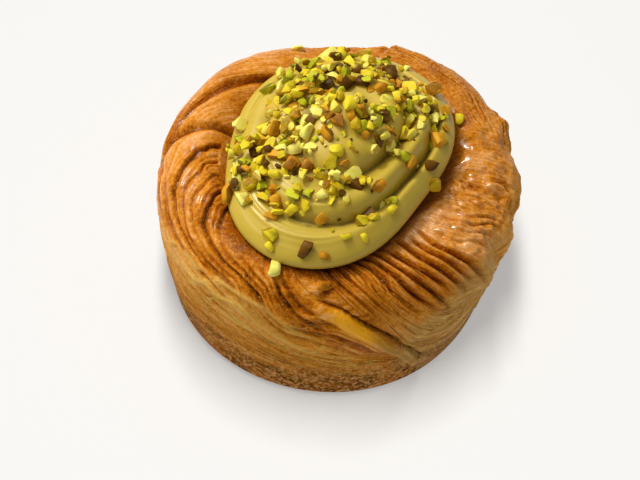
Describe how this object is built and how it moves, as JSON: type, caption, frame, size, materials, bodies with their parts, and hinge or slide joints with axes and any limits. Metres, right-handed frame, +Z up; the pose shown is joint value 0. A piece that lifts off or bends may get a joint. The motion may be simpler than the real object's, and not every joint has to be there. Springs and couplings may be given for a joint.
{
  "type": "cruffin",
  "caption": "Laminated pastry coiled in a ring, filled with a piped swirl of pistachio cream and strewn with chopped pistachios.",
  "frame": {"origin": "on the coil's axis, at the flat base", "axes": "+Z up out of the cream, -Y towards the side where the strip's tail lies over the coil"},
  "size_m": [0.0973, 0.0964, 0.0654],
  "materials": {
    "crust": "baked, egg-washed dough: satin brown on top, matte tan on the wall",
    "cream": "smooth piped pistachio cream, satin",
    "nut": "chopped roasted pistachio, matte"
  },
  "bodies": {
    "root": {"pastry": "crust", "cream": "cream"}
  },
  "joints": []
}
